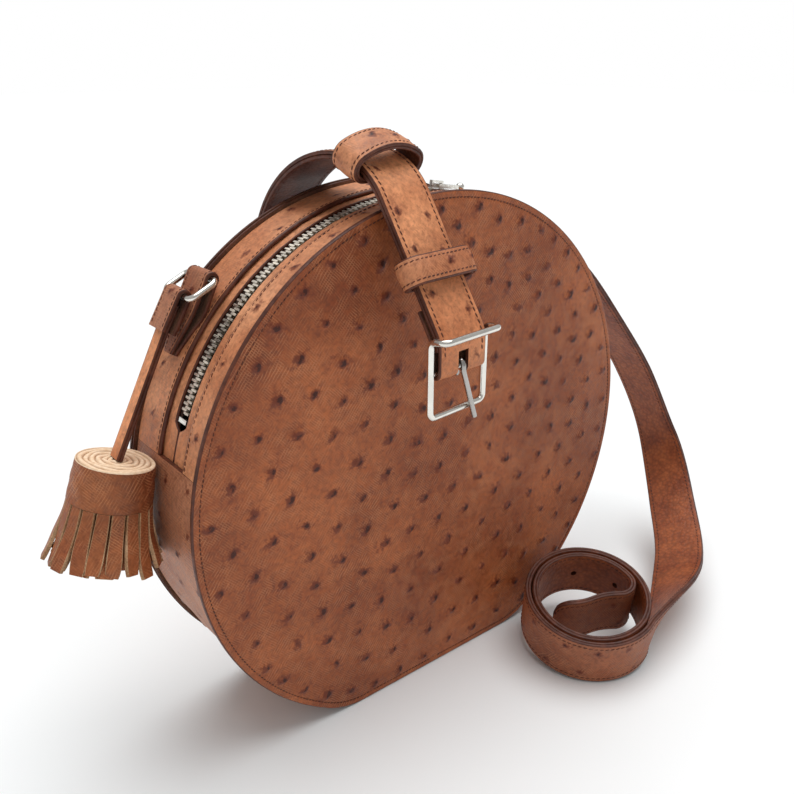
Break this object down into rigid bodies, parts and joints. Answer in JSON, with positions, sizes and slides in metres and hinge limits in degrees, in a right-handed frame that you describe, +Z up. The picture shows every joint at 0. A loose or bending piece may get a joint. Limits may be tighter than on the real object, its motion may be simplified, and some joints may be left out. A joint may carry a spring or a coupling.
{
  "type": "circle bag",
  "caption": "Round zip-top leather bag with a flat base, a short buckled strap over the top, a coiled long strap on a ring and a leather tassel.",
  "frame": {"origin": "middle of the flat base, level with the surface that the panel edges stand on", "axes": "+Z up, the front panel faces -Y, +X to the right seen from the front"},
  "size_m": [0.318, 0.1337, 0.2203],
  "materials": {
    "ostrich_leather": "quill-bumped, semi-matte",
    "smooth_leather": "smooth, semi-matte",
    "edge_leather": "dark painted edge",
    "board": "hidden pressed board",
    "lining_cloth": "woven cloth",
    "zip_tape": "dark woven tape",
    "nickel": "polished nickel plate"
  },
  "bodies": {
    "bag": {"front_panel": "ostrich_leather", "back_panel": "ostrich_leather", "base_gusset": "ostrich_leather", "front_zip_strip": "ostrich_leather", "back_zip_strip": "ostrich_leather", "buckle_strap": "ostrich_leather", "left_ring_tab": "ostrich_leather", "right_ring_tab": "ostrich_leather", "shoulder_strap_end": "ostrich_leather", "shoulder_strap_coil": "ostrich_leather", "shoulder_strap": "ostrich_leather", "front_zip_facing": "smooth_leather", "back_zip_facing": "smooth_leather", "front_welt": "edge_leather", "back_welt": "edge_leather", "buckle_strap_lining": "edge_leather", "front_stiffener": "board", "back_stiffener": "board", "base_board": "board", "front_lining": "lining_cloth", "back_lining": "lining_cloth", "gusset_lining": "lining_cloth", "front_zip_tape": "zip_tape", "back_zip_tape": "zip_tape", "front_zip_teeth": "nickel", "back_zip_teeth": "nickel", "zip_end_stops": "nickel", "right_ring": "nickel"},
    "left_slider": {"left_zip_slider": "nickel"},
    "left_pull": {"left_zip_pull": "nickel"},
    "right_slider": {"right_zip_slider": "nickel"},
    "right_pull": {"right_zip_pull": "nickel"},
    "buckle": {"buckle_frame": "nickel"},
    "prong": {"buckle_prong": "nickel"},
    "upper_loop": {"upper_keeper": "ostrich_leather"},
    "lower_loop": {"lower_keeper": "ostrich_leather"},
    "side_ring": {"left_ring": "nickel"},
    "tassel": {"tassel_loop": "smooth_leather", "tassel_thong": "smooth_leather", "tassel_roll": "smooth_leather", "tassel_fringe": "smooth_leather"}
  },
  "joints": [
    {"name": "left_slider_travel", "type": "hinge", "parent": "bag", "child": "left_slider", "pos_m": [0, -0.0028, 0.094], "axis": [0, 1, 0], "range_deg": [-66, 0]},
    {"name": "left_pull_lift", "type": "hinge", "parent": "left_slider", "child": "left_pull", "pos_m": [0.00364, -0.0028, 0.19819], "axis": [0, 1, 0], "range_deg": [0, 88]},
    {"name": "right_slider_travel", "type": "hinge", "parent": "bag", "child": "right_slider", "pos_m": [0, -0.0028, 0.094], "axis": [0, 1, 0], "range_deg": [0, 56]},
    {"name": "right_pull_lift", "type": "hinge", "parent": "right_slider", "child": "right_pull", "pos_m": [0.01486, -0.0028, 0.19718], "axis": [0, -1, 0], "range_deg": [0, 88]},
    {"name": "buckle_swing", "type": "hinge", "parent": "bag", "child": "buckle", "pos_m": [-0.01809, -0.05239, 0.14679], "axis": [0.9945, 0.1045, 0], "range_deg": [-15, 60]},
    {"name": "prong_swing", "type": "hinge", "parent": "buckle", "child": "prong", "pos_m": [-0.01809, -0.05239, 0.14679], "axis": [-0.9945, -0.1045, 0], "range_deg": [0, 110]},
    {"name": "upper_keeper_travel", "type": "hinge", "parent": "bag", "child": "upper_loop", "pos_m": [-0.02303, -0.00547, 0.186], "axis": [0.9945, 0.1045, 0], "range_deg": [-10, 8]},
    {"name": "lower_keeper_travel", "type": "slide", "parent": "bag", "child": "lower_loop", "axis": [0.0554, -0.527, -0.848], "range_m": [-0.014, 0.006]},
    {"name": "side_ring_swing", "type": "hinge", "parent": "bag", "child": "side_ring", "pos_m": [-0.07524, 0.013, 0.17328], "axis": [0, 1, 0], "range_deg": [0, 100]},
    {"name": "tassel_swing", "type": "hinge", "parent": "side_ring", "child": "tassel", "pos_m": [-0.08494, 0.013, 0.16855], "axis": [0, 1, 0], "range_deg": [0, 60]}
  ]
}
